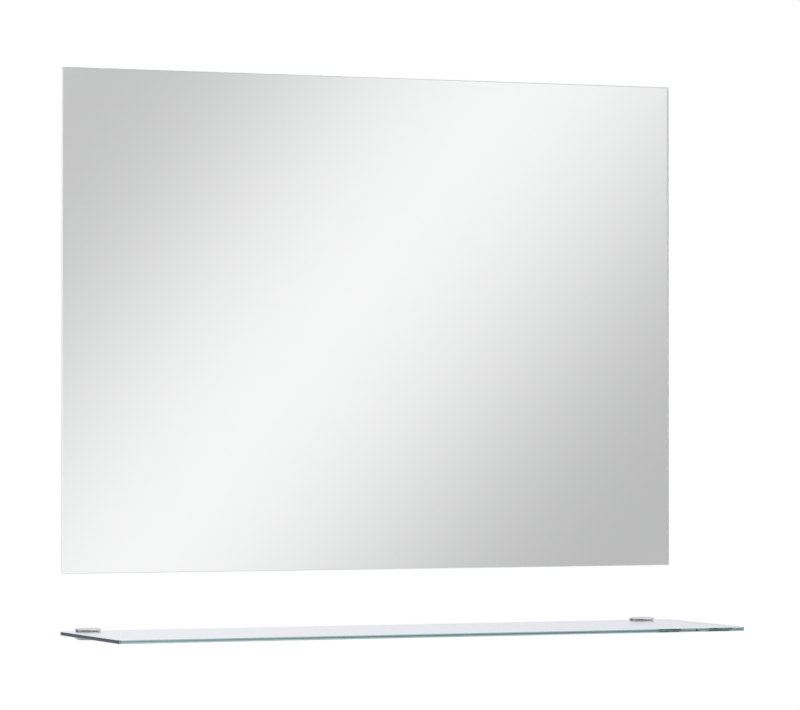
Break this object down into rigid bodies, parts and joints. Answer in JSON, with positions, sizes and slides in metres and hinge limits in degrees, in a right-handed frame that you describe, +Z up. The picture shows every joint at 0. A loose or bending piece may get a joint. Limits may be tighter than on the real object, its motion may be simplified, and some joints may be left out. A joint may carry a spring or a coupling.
{
  "type": "wall mirror with shelf",
  "caption": "Frameless rectangular wall mirror on keyhole hangers, with a clear glass shelf below it held to the wall by half-round chrome clamps.",
  "frame": {"origin": "on the wall plane, midway between the two screws that fix the shelf clamps", "axes": "+Y into the wall, along the fixing screws; +X along the wall to the viewer's right; +Z up"},
  "size_m": [0.8, 0.251, 0.6792],
  "materials": {
    "mirror_glass": "clear float glass with ground arrises",
    "silvering": "silvered",
    "backing_paint": "matt protective paint",
    "galvanised_steel": "galvanised",
    "foam_tape": "matt foam",
    "bumper_rubber": "matt",
    "zinc_screw": "bright zinc plate",
    "plug_nylon": "matt",
    "shelf_glass": "clear float glass with polished edges",
    "clamp_chrome": "polished chrome plate",
    "clear_liner": "clear soft plastic",
    "pad_nylon": "satin",
    "black_steel": "black oxide"
  },
  "bodies": {
    "wall_side": {"clamp_left": "clamp_chrome", "clamp_right": "clamp_chrome", "clamp_liner_left": "clear_liner", "clamp_liner_right": "clear_liner", "rest_liner_left": "clear_liner", "rest_liner_right": "clear_liner", "wall_screw_left": "zinc_screw", "wall_screw_right": "zinc_screw", "wall_plug_left": "plug_nylon", "wall_plug_right": "plug_nylon", "hanging_screw_left": "zinc_screw", "hanging_screw_right": "zinc_screw", "hanging_plug_left": "plug_nylon", "hanging_plug_right": "plug_nylon"},
    "mirror": {"mirror_pane": "mirror_glass", "silver_coating": "silvering", "backing_paint": "backing_paint", "hanger_plate_left": "galvanised_steel", "hanger_plate_right": "galvanised_steel", "hanger_tape_left": "foam_tape", "hanger_tape_right": "foam_tape", "bumper_left": "bumper_rubber", "bumper_right": "bumper_rubber"},
    "shelf": {"shelf_pane": "shelf_glass"},
    "pad_left": {"pressure_pad_left": "pad_nylon"},
    "pad_right": {"pressure_pad_right": "pad_nylon"},
    "screw_left": {"set_screw_left": "black_steel"},
    "screw_right": {"set_screw_right": "black_steel"}
  },
  "joints": [
    {"name": "mirror_lift", "type": "slide", "parent": "wall_side", "child": "mirror", "axis": [0, 0, 1], "range_m": [0, 0.01]},
    {"name": "shelf_pull", "type": "slide", "parent": "wall_side", "child": "shelf", "axis": [0, -1, 0], "range_m": [0, 0.016]},
    {"name": "pad_left_travel", "type": "slide", "parent": "wall_side", "child": "pad_left", "axis": [0, 0, -1], "range_m": [0, 0.0016]},
    {"name": "pad_right_travel", "type": "slide", "parent": "wall_side", "child": "pad_right", "axis": [0, 0, -1], "range_m": [0, 0.0016]},
    {"name": "screw_left_turn", "type": "hinge", "parent": "pad_left", "child": "screw_left", "pos_m": [-0.365, -0.013, -0.005], "axis": [0, 0, 1], "range_deg": [-720, 0]},
    {"name": "screw_right_turn", "type": "hinge", "parent": "pad_right", "child": "screw_right", "pos_m": [0.365, -0.013, -0.005], "axis": [0, 0, 1], "range_deg": [-720, 0]}
  ],
  "couplings": [
    {"joint": "screw_left_turn", "follows": "pad_left_travel", "rad_per_m": -7854},
    {"joint": "screw_right_turn", "follows": "pad_right_travel", "rad_per_m": -7854}
  ]
}
